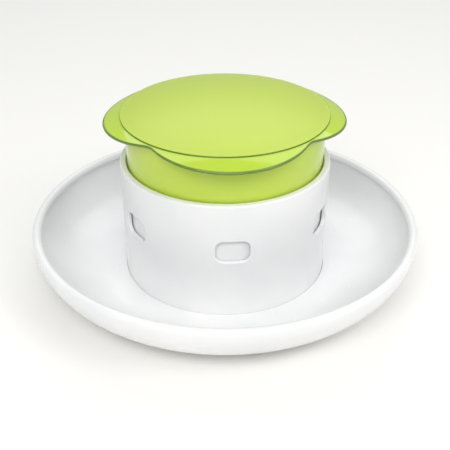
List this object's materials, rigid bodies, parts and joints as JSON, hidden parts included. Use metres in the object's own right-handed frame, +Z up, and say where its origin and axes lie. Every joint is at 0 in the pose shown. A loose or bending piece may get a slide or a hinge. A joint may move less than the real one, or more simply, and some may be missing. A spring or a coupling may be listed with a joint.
{
  "type": "push button treat dispenser",
  "caption": "White saucer tray with a round housing and outlets in the middle; pressing the lime lobed cover lowers a sprung drum that lets treats out.",
  "frame": {"origin": "on the table under the middle of the tray", "axes": "+Z up along the axis of the housing; -Y towards the front, where one outlet and one lobe face"},
  "size_m": [0.27, 0.27, 0.1303],
  "materials": {
    "white_plastic": "moulded, glossy",
    "lime_plastic": "see-through, moulded, glossy",
    "rubber": "matte",
    "seal_silicone": "satin",
    "spring_steel": "drawn wire",
    "screw_steel": "zinc plated"
  },
  "bodies": {
    "base": {"tray": "white_plastic", "foot_1": "rubber", "foot_2": "rubber", "foot_3": "rubber", "foot_4": "rubber", "housing": "white_plastic", "post_plate": "white_plastic", "housing_screw_1": "screw_steel", "housing_screw_2": "screw_steel", "housing_screw_3": "screw_steel", "housing_screw_4": "screw_steel", "main_spring": "spring_steel", "buffer_ring": "rubber"},
    "press_drum": {"drum": "white_plastic", "treat_floor": "white_plastic", "drum_screw_1": "screw_steel", "drum_screw_2": "screw_steel", "drum_screw_3": "screw_steel", "view_ring": "lime_plastic", "spring_washer": "screw_steel"},
    "cover": {"cover": "lime_plastic", "cover_seal": "seal_silicone"}
  },
  "joints": [
    {"name": "press_travel", "type": "slide", "parent": "base", "child": "press_drum", "axis": [0, 0, 1], "range_m": [-0.015, 0], "stiffness_N_per_m": 280, "springref_m": 0.02, "deforming": ["main_spring"]},
    {"name": "cover_lift", "type": "slide", "parent": "press_drum", "child": "cover", "axis": [0, 0, 1], "range_m": [0, 0.05]}
  ]
}
